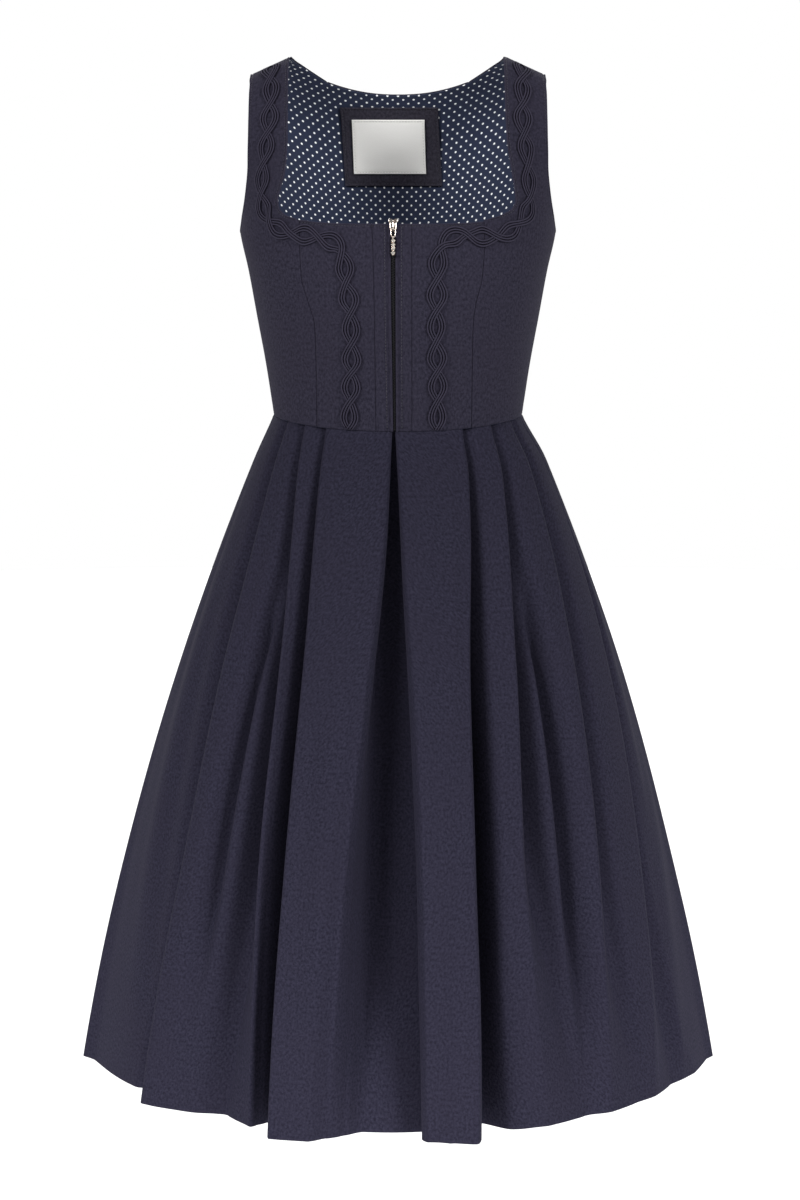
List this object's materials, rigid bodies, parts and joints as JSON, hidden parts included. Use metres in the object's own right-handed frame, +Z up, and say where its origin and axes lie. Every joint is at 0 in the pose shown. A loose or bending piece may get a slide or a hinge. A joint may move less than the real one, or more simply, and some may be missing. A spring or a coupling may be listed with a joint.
{
  "type": "sleeveless dirndl dress with zip front",
  "caption": "Sleeveless knee-length dirndl, filled out as worn: square neck, zip-front bodice with interlaced braid, dotted lining and a flared pleated skirt.",
  "frame": {"origin": "midway between the two shoulder straps, on top of the shoulder seams, where the wearer's shoulders carry the dress", "axes": "+Z up, the front faces -Y, +X is on the right in a front view"},
  "size_m": [0.676, 0.5609, 1.054],
  "materials": {
    "navy_cloth": "matte dark navy plain-woven wool and cotton cloth",
    "dotted_lining": "dark navy cotton printed with small white dots",
    "white_label": "white woven label, left bare",
    "braid": "interlaced cord trim in the colour of the cloth",
    "zip_tape": "black woven zip tape and nylon chain",
    "zip_metal": "polished nickel-plated slider and pull",
    "clear_stone": "clear faceted glass stones"
  },
  "bodies": {
    "dress": {"front_side_left": "navy_cloth", "front_side_right": "navy_cloth", "front_centre_left": "navy_cloth", "front_centre_right": "navy_cloth", "placket_left": "navy_cloth", "placket_right": "navy_cloth", "zip_tape": "zip_tape", "zip_chain": "zip_tape", "back_centre": "navy_cloth", "back_side_left": "navy_cloth", "back_side_right": "navy_cloth", "back_lining_centre": "dotted_lining", "back_lining_side_left": "dotted_lining", "back_lining_side_right": "dotted_lining", "label_patch": "navy_cloth", "label": "white_label", "braid_left": "braid", "braid_right": "braid", "skirt_front_left": "navy_cloth", "skirt_front_right": "navy_cloth", "skirt_back": "navy_cloth", "zip_slider": "zip_metal"},
    "ring": {"pull_ring": "zip_metal"},
    "pendant": {"pull_pendant": "zip_metal", "pull_stone_1": "clear_stone", "pull_stone_2": "clear_stone", "pull_stone_3": "clear_stone", "pull_stone_4": "clear_stone"}
  },
  "joints": [
    {"name": "ring_hinge", "type": "hinge", "parent": "dress", "child": "ring", "pos_m": [-0.0047, -0.11952, -0.16688], "axis": [-1, 0, 0], "range_deg": [0, 120]},
    {"name": "pendant_hinge", "type": "hinge", "parent": "ring", "child": "pendant", "pos_m": [-0.0047, -0.1223, -0.17597], "axis": [-1, 0, 0], "range_deg": [0, 90]}
  ]
}
